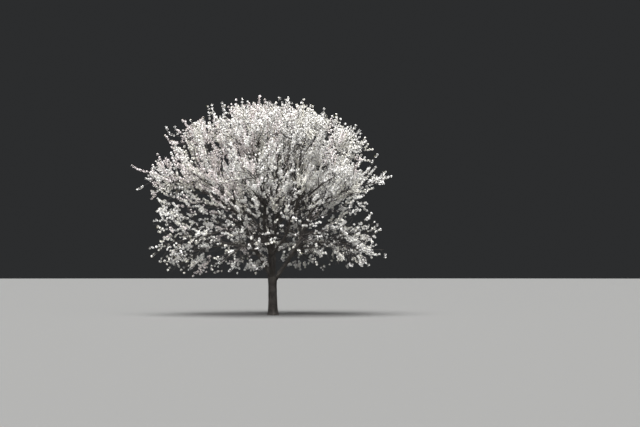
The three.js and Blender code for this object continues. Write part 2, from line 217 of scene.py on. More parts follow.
class Paint:
    """A material's nodes. Its patterns are noises on the object's coordinates or on a map of the piece."""

    def __init__(self, name):
        self.material = bpy.data.materials.new(name)
        self.material.use_nodes = True
        self.nodes = self.material.node_tree.nodes
        self.link = self.material.node_tree.links.new
        self.shader = self.nodes["Principled BSDF"].inputs
        self.here = self.nodes.new("ShaderNodeTexCoord").outputs["Object"]

    def noise(self, where, scale=1, detail=2, stretch=(1, 1, 1)):
        """A noise on a coordinate, at a scale for all its axes and one for each."""
        mapping = self.nodes.new("ShaderNodeMapping")
        mapping.inputs["Scale"].default_value = stretch
        self.link(where, mapping.inputs["Vector"])
        texture = self.nodes.new("ShaderNodeTexNoise")
        texture.inputs["Scale"].default_value = scale
        texture.inputs["Detail"].default_value = detail
        self.link(mapping.outputs["Vector"], texture.inputs["Vector"])
        return texture.outputs["Fac"]

    def ramp(self, value, places, greys=(0.0, 1.0)):
        """A value turned to grey: one grey up to the first place, and another from the last."""
        node = self.nodes.new("ShaderNodeValToRGB")
        self.link(value, node.inputs["Fac"])
        for element, place, grey in zip(node.color_ramp.elements, places, greys):
            element.position = place
            element.color = (grey, grey, grey, 1)
        return node.outputs["Color"]

    def blend(self, share, first, second):
        """Two colours mixed by a share. Each is a colour, or comes from another node."""
        node = self.nodes.new("ShaderNodeMix")
        node.data_type = "RGBA"
        self.link(share, node.inputs["Factor"])
        for socket, colour in (("A", first), ("B", second)):
            if isinstance(colour, tuple):
                node.inputs[socket].default_value = (*colour, 1)
            else:
                self.link(colour, node.inputs[socket])
        return node.outputs["Result"]


def cherry_bark():
    """Near-black bark with greyer weathered patches, thin rusty lines of pores round the limb, and a fine
    grain."""
    paint = Paint("cherry_bark")
    map_node = paint.nodes.new("ShaderNodeUVMap")
    map_node.uv_map = "bark"
    on_bark = map_node.outputs["UV"]
    weathered = paint.ramp(paint.noise(paint.here, scale=3.5, detail=4), places=(0.42, 0.64))
    ground = paint.blend(weathered, BARK_COLOURS["ground"], BARK_COLOURS["weathered"])
    fine = paint.noise(on_bark, detail=5, stretch=(60, 90, 1))
    darker = paint.ramp(fine, places=(0.4, 0.7), greys=(0.0, 0.5))
    grained = paint.blend(darker, ground, BARK_COLOURS["grain"])
    pores = paint.ramp(paint.noise(on_bark, detail=2, stretch=(16, 115, 1)), places=(0.6, 0.68))
    paint.link(paint.blend(pores, grained, BARK_COLOURS["pores"]), paint.shader["Base Color"])
    paint.link(paint.ramp(fine, places=(0.3, 0.7), greys=(0.62, 0.9)), paint.shader["Roughness"])
    heights = paint.nodes.new("ShaderNodeMath")
    heights.operation = "ADD"
    paint.link(fine, heights.inputs[0])
    paint.link(pores, heights.inputs[1])
    bump = paint.nodes.new("ShaderNodeBump")
    bump.inputs["Strength"].default_value = 0.6
    bump.inputs["Distance"].default_value = 0.003
    paint.link(heights.outputs[0], bump.inputs["Height"])
    paint.link(bump.outputs["Normal"], paint.shader["Normal"])
    return paint.material


def add_trunk():
    """The trunk's surface over the turn round it and the height up it."""
    sides, rings = TRUNK_GRID
    z = TRUNK_TOP * np.linspace(0, 1, rings) ** TRUNK_CROWDING
    height, around = np.meshgrid(z, np.arange(sides) / sides, indexing="ij")
    wood = trunk_radius(height, around)
    relief = bark_relief(around, height, TAU * TRUNK_RADIUS, TRUNK_SERIES)
    skin = wood + relief + plates(around, height)
    middles = z[:, None] * LEAN
    points, faces = tube(middles[None], skin[None], np.array([[1.0, 0.0, 0.0]]))
    points[:, 2] = np.clip(points[:, 2], 0, None)
    points[:sides, 2] = 0
    add_bark("trunk", (points, faces), sides, TAU * wood.mean(axis=1), z)


bark = cherry_bark()
add_trunk()


# The boughs
# Tapering limbs of the same timber, each grown out of the trunk's head or out of another limb, with a collar
# where it leaves. The skeleton is worked out by the rule that its solids follow, from the crown's outline.
CROWN_TOP = 8.5
CROWN_WIDEST = 5.3
SKIRT = 1.35
REACH = {"right": 4.7, "back": 4.45, "left": 5.45, "front": 4.45}
DOME_POWER = 1.9
SKIRT_POWER = 5
ARCH = {"left": 1.6, "right": 2.3}
ARCH_POWER = 3
COLLAR = {"share": 0.32, "length": 0.15}
TAPER_POWER = 0.85
LINE_HANDLES = (0.38, 0.34)
SWAY = {"share": 0.028, "acrossWaves": 1.4, "upwardWaves": 1.1}
LOW_STAGGER = 0.18
HIGH_ON_BOUGH = 0.62
BARK_STEP = 0.03  # length of a bough's facets
BARK_FACET = 0.014  # and their width
BOUGH_SIDES = (10, 30)
BOUGH_SERIES = 60
CURVE_STEPS = 201
NUDGE = 1e-3  # share of a bough between the points that give its direction
SECTORS = "right back_right back back_left left front_left front front_right".split()
SECTOR_STEP = 360 / len(SECTORS)
ITEM = {"across": 1, "upward": 2, "from": 3, "azimuth": 4, "height": 5, "rise": 39, "twig": 100}

# Ranks of limbs, as in the solids: their number, where each starts on the trunk or its parent, the height of
# its tip and the share of the crown's reach there, its angles above level and its radii at both ends, how far
# ahead of the tip its blossom is centred, how its twigs hang, how its like stand round the trunk, and how
# much four values stray from one to the next.
STRAYS = ("azimuth", "height", "from", "rise")
RANK_COLUMNS = "count from fromStep height heightStep share rise radius ahead hang first step stray".split()
RANK_ROWS = {
    "leader": (1, 1.25, 0, 6.65, 0, 0.07, (88, 80), (0.086, 0.030), 0.8, 0.1, 12, 0, (0, 0, 0, 0)),
    "main": (4, 1.27, 0.028, 4.85, 0, 0.54, (56, 20), (0.086, 0.030), 0.7, -0.04, -4, 45, (8, 0.15, 0, 10)),
    "partner": (4, 0.24, 0, 4.65, 0, 0.54, (48, 24), (0.055, 0.027), 0.7, -0.04, -4, 45, (8, 0.15, 0, 10)),
    "low": (8, 0.36, 0, 2.85, 0, 0.54, (16, -12), (0.038, 0.023), 0.7, -0.02, -21, 45, (6, 0.1, 0.12, 10)),
    "high": (6, 0.4, 0.06, 6.25, 0, 0.5, (56, 52), (0.044, 0.024), 0.64, 0.05, 2, 60, (7, 0.16, 0, 8)),
    "top": (3, 0.68, 0.06, 6.9, 0, 0.26, (60, 76), (0.034, 0.022), 0.62, 0.15, 212, 120, (0, 0, 0, 0)),
    "inner": (3, 0.3, 0.1, 4.15, 0.42, 0.22, (30, 30), (0.030, 0.020), 0.42, 0.1, 250, 120, (0, 0, 0, 0)),
}
RANKS = {name: dict(zip(RANK_COLUMNS, row)) for name, row in RANK_ROWS.items()}


def reach_towards(azimuth):
    """The crown's plan: quarters of ellipses, with their own reach on each side."""
    x, y = np.cos(azimuth), np.sin(azimuth)
    wide = np.where(x > 0, REACH["right"], REACH["left"])
    deep = np.where(y > 0, REACH["back"], REACH["front"])
    return 1 / np.hypot(x / wide, y / deep)


def dome_or_skirt(rise):
    """The outline's power and its height, above the crown's widest height or below it."""
    power = np.where(rise > 0, DOME_POWER, SKIRT_POWER)
    return power, np.where(rise > 0, CROWN_TOP - CROWN_WIDEST, CROWN_WIDEST - SKIRT)


def reach_at_height(azimuth, z):
    """The crown's side: a squared-off dome above its widest height, and a steeper skirt below it."""
    power, tall = dome_or_skirt(z - CROWN_WIDEST)
    share = np.abs(z - CROWN_WIDEST) / tall
    return reach_towards(azimuth) * np.clip(1 - share**power, 0, None) ** (1 / power)


def plan_of(points):
    """The points' azimuth, and how far out they lie as a share of the crown's reach there."""
    azimuth = np.arctan2(points[..., 1], points[..., 0])
    return azimuth, np.hypot(points[..., 0], points[..., 1]) / reach_towards(azimuth)


def fullness(points):
    """How far out points lie: nought in the crown's middle and one on its outline. It is the root of the
    summed powers of the shares of reach and of height, with the power of the dome or of the skirt."""
    rise = points[..., 2] - CROWN_WIDEST
    power, tall = dome_or_skirt(rise)
    outward = plan_of(points)[1]
    return (outward**power + np.abs(rise / tall) ** power) ** (1 / power)


def over_arch(points):
    """Whether points lie over the arch of the crown's underside, which is higher on the right."""
    azimuth, outward = plan_of(points)
    arch = mix((ARCH["left"], ARCH["right"]), (1 + np.cos(azimuth)) / 2)
    return points[..., 2] >= mix((arch, SKIRT), np.clip(outward, 0, 1) ** ARCH_POWER)


def heading(azimuth, rise):
    """A direction that points out from the trunk and rises by an angle."""
    return np.array([np.cos(azimuth) * np.cos(rise), np.sin(azimuth) * np.cos(rise), np.sin(rise)])


def stray_of(rank, series, item):
    """How far a limb strays in one of its values, to either side, by a draw of its own."""
    return (2 * draw(series, ITEM[item]) - 1) * rank["stray"][STRAYS.index(item)]


class Limb:
    """A bough's line, a cubic Bézier curve with a slow sway to each side of it, and its radius along it."""

    def __init__(self, name, rank_name, start, azimuth, height, series):
        rank = RANKS[rank_name]
        self.name, self.rank_name, self.rank, self.series = name, rank_name, rank, series
        radius = float(reach_at_height(azimuth, height)) * rank["share"]
        tip = np.array([radius * np.cos(azimuth), radius * np.sin(azimuth), height])
        outward = np.arctan2(tip[1] - start[1], tip[0] - start[0])
        arrival = heading(azimuth, np.radians(rank["rise"][1]))
        set_off = heading(outward, np.radians(rank["rise"][0] + stray_of(rank, series, "rise")))
        span = np.linalg.norm(tip - start)
        first, last = LINE_HANDLES
        self.handles = np.array([start, start + set_off * span * first, tip - arrival * span * last, tip])
        self.sway = span * SWAY["share"]
        self.across = unit(np.cross(tip - start, UP))
        self.upward = unit(np.cross(self.across, tip - start))
        self.site = tip + arrival * rank["ahead"]
        self.steps = np.linspace(0, 1, CURVE_STEPS)
        gaps = np.linalg.norm(np.diff(self.curve(self.steps), axis=0), axis=1)
        self.travel = np.concatenate([[0], np.cumsum(gaps)])
        self.length = self.travel[-1]

    def curve(self, t):
        """The line at the curve's own parameter."""
        t = np.atleast_1d(t)[:, None]
        weights = np.concatenate([(1 - t) ** 3, 3 * t * (1 - t) ** 2, 3 * t**2 * (1 - t), t**3], axis=1)
        swell = self.sway * np.sin(np.pi * t) ** 2
        across = swell * np.sin(TAU * (SWAY["acrossWaves"] * t + draw(self.series, ITEM["across"])))
        upward = swell * np.sin(TAU * (SWAY["upwardWaves"] * t + draw(self.series, ITEM["upward"])))
        return weights @ self.handles + across * self.across + upward * self.upward

    def at(self, share):
        """The line at a share of its length."""
        return self.curve(np.interp(np.atleast_1d(share) * self.length, self.travel, self.steps))

    def direction(self, share):
        """The line's direction, from two points close together."""
        share = np.atleast_1d(share)
        return unit(self.at(np.clip(share + NUDGE, 0, 1)) - self.at(np.clip(share - NUDGE, 0, 1)))

    def radius(self, share):
        """The taper from root to tip by a power of what is left of the length, and a collar at the root."""
        root, tip = self.rank["radius"]
        collar = root * COLLAR["share"] * np.exp(-share * self.length / COLLAR["length"])
        return tip + (root - tip) * (1 - share) ** TAPER_POWER + collar


limbs = {}


def grow(name, rank_name, i, parent, place=None):
    """Adds limb number i of a rank, on the trunk or on a parent."""
    rank = RANKS[rank_name]
    series = len(limbs) + 1
    if place is None:
        place = rank["from"] + rank["fromStep"] * i + stray_of(rank, series, "from")
    start = limbs[parent].at(place)[0] if parent else place * LEAN
    azimuth = rank["first"] + rank["step"] * i + stray_of(rank, series, "azimuth")
    stagger = LOW_STAGGER * (1 if i % 2 else -1) if rank_name == "low" else 0
    height = rank["height"] + rank["heightStep"] * i + stagger + stray_of(rank, series, "height")
    limbs[name] = Limb(name, rank_name, start, np.radians(azimuth), height, series)


def grow_skeleton():
    """The leader, main boughs with a partner each, low boughs, and those of the dome and the inside."""
    grow("leader", "leader", 0, None)
    for i, sector in enumerate(SECTORS):
        if i % 2 == 0:
            grow(f"{sector}_bough", "main", i, None)
        else:
            grow(f"{sector}_bough", "partner", i, f"{SECTORS[i - 1]}_bough")
    for i, sector in enumerate(SECTORS):
        grow(f"low_{sector}_bough", "low", i, f"{sector}_bough")
    for rank_name in ("high", "top", "inner"):
        rank = RANKS[rank_name]
        for i in range(rank["count"]):
            name = f"{rank_name}_bough_{i + 1}"
            if rank_name == "high" and i % 2:
                sector_no = int(np.floor((rank["first"] + rank["step"] * i) / SECTOR_STEP + 0.5))
                nearest = SECTORS[sector_no % len(SECTORS)]
                grow(name, rank_name, i, f"{nearest}_bough", HIGH_ON_BOUGH)
            else:
                grow(name, rank_name, i, "leader")


def add_bough(limb):
    """A bough's surface over the turn round it and the share along it: its taper, its collar and the bark."""
    sides = int(np.clip(round(TAU * limb.rank["radius"][0] / BARK_FACET), *BOUGH_SIDES))
    rings = int(limb.length / BARK_STEP) + 2
    share = np.linspace(0, 1, rings)
    along, turn = np.meshgrid(share * limb.length, np.arange(sides) / sides, indexing="ij")
    wood = limb.radius(share)
    girth = TAU * float(wood.mean())
    radii = wood[:, None] + bark_relief(turn, along, girth, BOUGH_SERIES + limb.series)
    skin = tube(limb.at(share)[None], radii[None], limb.across[None])
    add_bark(limb.name, skin, sides, TAU * wood, share * limb.length)


grow_skeleton()
for limb in limbs.values():
    add_bough(limb)


# The twigs
# Past a bough's tip its stem carries on, and twigs turn round it by the golden angle. Branches leave the
# bough itself as well. All carry side shoots, and all are thin, dark and a little crooked.
GOLDEN_TURN = TAU * (1 - 2 / (1 + np.sqrt(5)))
SPRAY_LENGTH = 0.9  # of the solids' sprays, whose room the shoots fill
STEM_SPRAY = 0.9
STEM_LENGTHS = np.arange(1.9, 0.45, -0.1)
STEM_TIP = 0.006
STEM_OVERLAP = 0.02  # with its bough's tip
TWIG_PLACES = np.arange(0, 7.01, 0.5)  # up a stem, with one twig between each two of the solids' own
TWIG_SHARES = (0.06, 0.9)
TWIG_LENGTH = (0.9, 0.42)
TWIG_OPENNESS = (78, 46)
TWIG_TURN_STRAY = 0.7
TWIG_STRAY = (0.8, 0.4)  # the least share of its length, and how much a draw adds
TWIG_LIFT = 0.06
TWIG_RADIUS = (0.019, 0.007)
BRANCH_STEP = 0.24  # between the branches of a bough
BRANCH_SHARES = (0.1, 0.98)
BRANCH_LENGTH = (2.0, 1.6)
BRANCH_STRAY = (0.7, 1.2)  # of their length
BRANCH_OPENNESS = (40, 66)
BRANCH_LIFT = 0.6  # of what its height gives a shoot
LOWEST_BRANCHES = 0.45  # up to this share of a bough its branches are the shorter the nearer its foot
BRANCH_RADIUS = (0.026, 0.009)
BRANCH_THICKNESS = 0.5  # of its bough's radius, at most
SIDE_THICKNESS = 0.75  # of a side shoot, likewise
WOOD_TAPER = 0.8  # the power of the share travelled

# Side shoots: how many to a parent, the shares of it between which they leave, and their lengths at its foot
# and at its end.
SIDE_SHOOTS = {
    "branch_twigs": (5, (0.25, 0.98), (0.9, 0.55)),
    "stem_shoots": (9, (0.3, 0.99), (0.65, 0.4)),
    "twig_shoots": (7, (0.16, 0.97), (0.62, 0.34)),
    "branch_shoots": (3, (0.3, 0.96), (0.5, 0.34)),
}
SHOOT_OPENNESS = 46
SHOOT_STRAY = {"openness": (0.7, 1.25), "length": (0.6, 1.35), "turn": 0.8}
SHOOT_RADIUS = (0.008, 0.003)
FITTING_SIZES = np.arange(1, 0.35, -0.08)
SPACE_MARGIN = 0.014  # room between two masses' spaces, which the stems keep
NEIGHBOURLY = -0.6  # how far twigs may reach past the middle between two masses
RAGGEDNESS = (0.02, 0.19)  # how far short of the crown's outline most shoots stop, as shares of the reach
SPRIGS = {"share": 0.08, "beyond": 0.02}  # the shoots that stand out past the outline, and how far
HOLLOWS = {"size": 0.42, "depth": 0.26}  # the dips between the outline's tufts, with their depth as a share
HANGING = {"heights": (2.2, 4.2), "left": 0.3}  # low down, how much is left of all that cuts shoots short
HEART = np.array([0.0, 0.0, 2.2])  # branches and side shoots turn some of the way outwards from this point
BRANCH_FAN = 0.65
SHOOT_FAN = (0.25, 1.8)  # in the shade low in the crown, and in the light
SHADE = (2.4, 5.4)  # the heights up to which there is full shade, and from which there is full light
RIM = (0.74, 0.94)  # the fullness at which light from the side sets in, and at which it is strongest
RIM_LIGHT = 0.15
BACK_LIGHT = 0.3  # straight behind, where the low boughs bloom more fully than in front
WINDOW = {"heights": (3.4, 6.2), "bloom": (0.22, 1.0), "power": 3}  # the photographed side's open middle
SHELL = (0.33, 0.76)  # few shoots bloom at the first fullness of the crown and most from the second
BLOOM_INSIDE = 0.54  # share of the shoots that bloom in the crown's middle
BLOOM_OUTSIDE = 0.98
BLOOM_IN_SHADE = 0.56  # and of those near its outline, in the shade against the light
BARE_SHOOTS = 0.74  # bare shoots keep within this fullness
CROOKEDNESS = {"share": 0.035, "waves": 1.6}
CHECKED = np.array([0.5, 0.8, 1.0])  # the shares of a shoot at which its room is looked at
ENDLESS = 9999  # cells of a noise that never closes on itself
RISING = {"heights": (1.8, 6.4), "lift": (-0.42, 0.42)}  # how far shoots bend up, as a share of their length
REGIONS = {
    "crest": ("leader", "top", "inner"),
    "shoulder": ("high",),
    "waist": ("main", "partner"),
    "skirt": ("low",),
}


class Shoots:
    """Many thin lines as arrays. A line leaves its start along its heading, bends up by lift times its length
    times the square of the share travelled, and wavers to the side. Radii run from thick to thin. Each line
    knows the bough and the spray that it belongs to, and has a series of draws of its own."""

    def __init__(self, start, heading, length, lift, thick, thin, limb_no, spray, series):
        self.start, self.heading, self.length, self.lift = start, heading, length, lift
        self.thick, self.thin, self.limb_no, self.spray, self.series = thick, thin, limb_no, spray, series

    def __len__(self):
        return len(self.length)

    def kept(self, chosen):
        """Some of the lines."""
        return Shoots(*(values[chosen] for values in vars(self).values()))

    def across(self):
        """The level way square to each line. One that stands upright takes the x axis."""
        level = np.cross(UP, self.heading)
        level[np.linalg.norm(level, axis=1) < 0.05] = (1, 0, 0)
        return unit(level)

    def at(self, shares):
        """Points at shares of the lines' lengths: an array of lines by shares by coordinates."""
        shares = np.broadcast_to(shares, (len(self), np.shape(shares)[-1]))[..., None]
        length = self.length[:, None, None]
        straight = self.start[:, None] + self.heading[:, None] * length * shares
        phase = draw(self.series, 7)[:, None, None]
        wave = np.sin(TAU * (CROOKEDNESS["waves"] * shares + phase))
        waver = CROOKEDNESS["share"] * length * np.sin(np.pi * shares) ** 2 * wave
        lift = self.lift[:, None, None] * length * shares**2
        return straight + lift * UP + waver * self.across()[:, None]

    def direction(self, share):
        """Headings at one share for each line."""
        return unit(self.heading + 2 * (self.lift * share)[:, None] * UP)


def together(groups):
    """Several groups of shoots as one."""
    columns = zip(*(vars(group).values() for group in groups))
    return Shoots(*(np.concatenate(column) for column in columns))


def turned(along, turn, openness):
    """Directions at an angle to others, turned round them from the level."""
    level = unit(np.cross(UP, along))
    side = level * np.cos(turn)[:, None] + np.cross(along, level) * np.sin(turn)[:, None]
    return along * np.cos(openness)[:, None] + side * np.sin(openness)[:, None]


sites = np.array([limb.site for limb in limbs.values()])


def nearest_own(points, limb_no, margin):
    """Whether points are nearer to their own limb's site than to another's, give or take a margin on the
    plane between them."""
    own = np.sum((points - sites[limb_no]) ** 2, axis=-1)
    fits = np.full(len(points), True)
    for other in range(len(sites)):
        room = 2 * margin * np.linalg.norm(sites[limb_no] - sites[other], axis=-1)
        fits &= (limb_no == other) | (own + room <= np.sum((points - sites[other]) ** 2, axis=-1))
    return fits


def swells(points, size, series):
    """A smooth noise over space, mostly from -1 to 1: the sum of two that run through one another."""
    x, y, z = points.T / size + NOISE_SHIFT
    return smooth_noise(x, z, ENDLESS, series) + smooth_noise(y, z + 0.5, ENDLESS, series + 31)


def outline_of(shoots):
    """How full the crown is where each shoot stops. Most stop short of the outline by a draw, and a few
    sprigs stand out past it. All stop shorter under its hollows, where a noise over it is above nought. Low
    in the skirt, where they hang, they stop less short."""
    middle = CROWN_WIDEST * UP
    over_them = (shoots.start - middle) / fullness(shoots.start)[:, None]
    hollows = HOLLOWS["depth"] * np.clip(swells(over_them, HOLLOWS["size"], 5), 0, 1)
    sprig = draw(shoots.series, 8) < SPRIGS["share"]
    short = np.where(sprig, -SPRIGS["beyond"], mix(RAGGEDNESS, draw(shoots.series, 12)))
    left = mix((HANGING["left"], 1), way_up(shoots.start[:, 2], HANGING["heights"]))
    return 1 - left * (short + hollows)


def light_at(points):
    """Nought in the shade low in the crown and one in its upper part. Some light comes in from behind, and
    some from the side at the rim, all round but in front, where the low boughs are nearly bare."""
    from_side = RIM_LIGHT * way_up(fullness(points), RIM) * (1 - in_front(points) ** 2)
    from_behind = BACK_LIGHT * in_front(points * [1, -1, 1])
    return np.maximum(way_up(points[:, 2], SHADE), from_side + from_behind)


def in_front(points):
    """One straight in front of the trunk, falling to nought at its sides."""
    return np.clip(-points[:, 1] / np.hypot(points[:, 0], points[:, 1]), 0, 1)


def window_at(points):
    """The share of the shoots that still bloom in front, where the limbs show through: least low down."""
    left = mix(WINDOW["bloom"], way_up(points[:, 2], WINDOW["heights"]))
    return mix((1, left), in_front(points) ** WINDOW["power"])


def blooms(shoots):
    """Which shoots bloom, each by its own draw: more of them towards the crown's outline and in the light."""
    middles = shoots.at(np.array([0.6]))[:, 0]
    light = light_at(middles)
    ends = (BLOOM_INSIDE * light, BLOOM_OUTSIDE * mix((BLOOM_IN_SHADE, 1), light))
    share = mix(ends, way_up(fullness(middles), SHELL))
    return draw(shoots.series, 9) < share * window_at(middles)


def at_rim(shoots):
    """Which shoots end near the crown's outline."""
    return fullness(shoots.at(np.array([1.0]))[:, 0]) > BARE_SHOOTS


def alive(shoots):
    """The shoots without those that would stand bare in the shade, where they die back."""
    lit = draw(shoots.series, 14) < light_at(shoots.start)
    return shoots.kept(blooms(shoots) | lit)


def fanned(heading, start, fan):
    """Headings turned part of the way towards straight out from the heart of the crown."""
    return unit(heading + fan * unit(start - HEART))


def fitted(shoots, margin=None):
    """The shoots cut to the largest of some sizes at which they keep to the crown and, where there is a
    margin, to their own mass's space. A shoot that fits at none is dropped."""
    outline = outline_of(shoots)
    chosen = np.zeros(len(shoots))
    for size in FITTING_SIZES:
        tried = Shoots(**vars(shoots) | {"length": shoots.length * size})
        points = tried.at(CHECKED)
        fits = np.all((fullness(points) <= outline[:, None]) & over_arch(points), axis=1)
        if margin is not None:
            for n in range(len(CHECKED)):
                fits &= nearest_own(points[:, n], shoots.limb_no, margin)
        chosen = np.where((chosen == 0) & fits, size, chosen)
    shoots.length = shoots.length * chosen
    return shoots.kept(chosen > 0)


def stems():
    """Each bough's tip carried on as far as its space allows, and how much of that the solids leave bare."""
    rows = []
    for number, limb in enumerate(limbs.values()):
        along, tip = limb.direction(1)[0], limb.at(1)[0]
        hang = limb.rank["hang"]
        for bare in STEM_LENGTHS:
            end = tip + along * bare + UP * bare * hang
            beyond = end + unit(along + 2 * UP * hang) * SPRAY_LENGTH * STEM_SPRAY
            ends = np.array([end, beyond])
            own = nearest_own(ends, np.array([number, number]), SPACE_MARGIN)
            if np.all(own & (fullness(ends) <= 1) & over_arch(ends)):
                break
        whole = bare + SPRAY_LENGTH * STEM_SPRAY
        start, thick = tip - along * STEM_OVERLAP, limb.rank["radius"][1]
        rows.append((start, along, whole, hang, thick, STEM_TIP, number, number, 900.0 + number, bare))
    *columns, bare = (np.array(column) for column in zip(*rows))
    return Shoots(*columns), bare


def leaving(parents, share, turn, openness, length, lift, radii, spray, series):
    """Shoots that leave their parents at shares of their length, turned round them and at an angle."""
    heading = turned(parents.direction(share), turn, np.radians(openness))
    start = parents.at(share[:, None])[:, 0]
    thick = np.minimum(SIDE_THICKNESS * mix((parents.thick, parents.thin), share**WOOD_TAPER), radii[0])
    thin = np.minimum(radii[1], thick)
    return Shoots(start, heading, length, lift, thick, thin, parents.limb_no, spray, series)


def twigs_of(stem_group, bare):
    """The twigs of every stem, numbered up it, with the same draws as the solids' own."""
    groups = []
    for place in TWIG_PLACES:
        up = mix(TWIG_SHARES, place / TWIG_PLACES[-1])
        share = up * bare / stem_group.length
        stray = draw(stem_group.limb_no + 1.0, ITEM["twig"] + place)
        openness = np.full(len(stem_group), mix(TWIG_OPENNESS, up))
        length = (mix(TWIG_LENGTH, up) + SPRAY_LENGTH) * (TWIG_STRAY[0] + TWIG_STRAY[1] * stray)
        turn = place * GOLDEN_TURN + stray * TWIG_TURN_STRAY
        series = stem_group.series + 40.0 * (place + 1)
        lift = stem_group.lift + TWIG_LIFT
        groups.append(leaving(stem_group, share, turn, openness, length, lift, TWIG_RADIUS, series, series))
    return fitted(together(groups), NEIGHBOURLY)


def rise_at(height):
    """How far shoots bend up: they hang in the skirt and rise in the dome."""
    return mix(RISING["lift"], way_up(height, RISING["heights"]))


def branches():
    """Branches along every bough, long ones low on it and shorter ones towards its tip."""
    groups = []
    for number, limb in enumerate(limbs.values()):
        count = int(limb.length * (BRANCH_SHARES[1] - BRANCH_SHARES[0]) / BRANCH_STEP)
        share = mix(BRANCH_SHARES, (np.arange(count) + 0.5) / count)
        series = 4000.0 + 50 * number + np.arange(count)
        openness = np.radians(mix(BRANCH_OPENNESS, draw(series, 30)))
        start = limb.at(share)
        sideways = turned(limb.direction(share), np.arange(count) * GOLDEN_TURN + limb.series, openness)
        heading = fanned(sideways, start, BRANCH_FAN)
        length = mix(BRANCH_LENGTH, share) * mix(BRANCH_STRAY, draw(series, 31))
        length *= np.clip(share / LOWEST_BRANCHES, 0, 1)
        thick = np.minimum(BRANCH_THICKNESS * limb.radius(share), BRANCH_RADIUS[0])
        thin = np.full(count, BRANCH_RADIUS[1])
        lift = BRANCH_LIFT * rise_at(start[:, 2])
        own_limb = np.full(count, number)
        groups.append(Shoots(start, heading, length, lift, thick, thin, own_limb, series, series))
    return fitted(together(groups))


def side_shoots(parents, kind):
    """A number of side shoots for every parent, spread between two shares of it. They shorten towards its end
    and turn round it by the golden angle. Those that would stand bare at the crown's rim are left out."""
    count, shares, lengths = SIDE_SHOOTS[kind]
    groups = []
    for k in range(count):
        series = parents.series * 1.7 + 13.0 * (k + 1)
        share = np.clip(mix(shares, (k + draw(series, 1)) / count), 0, BRANCH_SHARES[1])
        turn = k * GOLDEN_TURN + TAU * draw(parents.series, 2) + SHOOT_STRAY["turn"] * draw(series, 5)
        angle = SHOOT_OPENNESS * mix(SHOOT_STRAY["openness"], draw(series, 3))
        length = mix(lengths, share) * mix(SHOOT_STRAY["length"], draw(series, 4))
        lift = rise_at(parents.start[:, 2])
        groups.append(leaving(parents, share, turn, angle, length, lift, SHOOT_RADIUS, parents.spray, series))
    shoots = together(groups)
    shoots.heading = fanned(shoots.heading, shoots.start, mix(SHOOT_FAN, light_at(shoots.start))[:, None])
    shoots = fitted(shoots)
    return shoots.kept(blooms(shoots) | ~at_rim(shoots))


stem_lines, stem_bare = stems()
twig_lines = twigs_of(stem_lines, stem_bare)
branch_lines = branches()
branch_twigs = side_shoots(branch_lines, "branch_twigs")
stem_shoots = side_shoots(stem_lines, "stem_shoots")
twig_shoots = side_shoots(twig_lines, "twig_shoots")
branch_shoots = side_shoots(together([branch_lines, branch_twigs]), "branch_shoots")
fine_shoots = alive(together([twig_shoots, stem_shoots, branch_shoots]))

# Groups of shoots: the rings and sides of their skins, fewer for finer ones, and the share of their length
# from which they bloom.
GROUPS = [
    (stem_lines, (16, 7), 0.6),
    (together([twig_lines, branch_lines]), (8, 4), 0.75),
    (branch_twigs, (6, 3), 0.4),
    (fine_shoots, (3, 3), 0.18),
]


def mottled(name, colours, scale, detail, places, roughness, specular=0.5):
    """A material of two colours that drift into each other by a noise."""
    paint = Paint(name)
    share = paint.ramp(paint.noise(paint.here, scale, detail), places)
    paint.link(paint.blend(share, *colours), paint.shader["Base Color"])
    paint.shader["Roughness"].default_value = roughness
    paint.shader["Specular IOR Level"].default_value = specular
    return paint.material


def region_of(shoots, region):
    """The shoots whose boughs belong to a region of the crown."""
    belongs = [limb.rank_name in REGIONS[region] for limb in limbs.values()]
    return shoots.kept(np.array(belongs)[shoots.limb_no])


def crown_piece(region, kind, skin, material):
    """A piece that stands for the masses of a region of the crown, which are named after their limbs."""
    names = [limb.name for limb in limbs.values() if limb.rank_name in REGIONS[region]]
    nodes = ["leader_blossom" if name == "leader" else name.replace("bough", "blossom") for name in names]
    new_piece(f"{region}_{kind}", skin, material, nodes)


def skin_of(shoots, rings, sides):
    """Thin tapering skins round shoots."""
    shares = np.linspace(0, 1, rings)
    radii = mix((shoots.thick[:, None], shoots.thin[:, None]), shares**WOOD_TAPER)
    return tube(shoots.at(shares), np.repeat(radii[:, :, None], sides, axis=2), shoots.across())


def joined(parts):
    """Several skins as one array of points and one list of faces."""
    points, faces, offset = [], [], 0
    for part_points, part_faces in parts:
        points.append(part_points)
        faces += [face + offset for face in part_faces]
        offset += len(part_points)
    return np.concatenate(points), faces


# Young bark: dark brown and a little glossy, with greyer stretches.
wood_colours = (0.016, 0.012, 0.010), (0.045, 0.037, 0.032)
young_bark = mottled("young_bark", wood_colours, scale=14, detail=3, places=(0.4, 0.65), roughness=0.6)
for region in REGIONS:
    twigs = joined(skin_of(region_of(shoots, region), *grid) for shoots, grid, _ in GROUPS)
    crown_piece(region, "twigs", twigs, young_bark)


# The blossom
# Clusters of white, five-petalled flowers sit close along the shoots, on spurs too short to see, and face all
# ways. A spray's flowers share a tint. The flowers are larger than life, since they are fewer.
SPUR_STEP = 0.072  # between clusters along a shoot
SPUR_JITTER = (0.35, 1.0)  # where in its step a cluster sits
FLOWERS = 4  # in a cluster
FLOWER_RADIUS = 0.032
FLOWER_STRAY = (0.82, 1.15)  # of the radius
FLOWER_CUP = (0.15, 0.55)  # how far its petals are lifted, as a share of it
FLOWER_TILT = 0.18
SHOULDER = {"turn": 31, "out": 0.78, "lift": 0.75}  # of a petal, beside its tip
HEART_SIZE = {"reach": 0.3, "lift": 0.16}  # of the stamens, as shares of a flower's radius
LEAF = {"share": 0.3, "length": (0.035, 0.06), "stalk": 0.02, "fold": 0.12, "widest": 0.55, "half": 0.22}
CLUSTER_RADIUS = 0.027  # from the cluster's middle to its flowers
CLUSTER_STRAY = (0.75, 1.2)
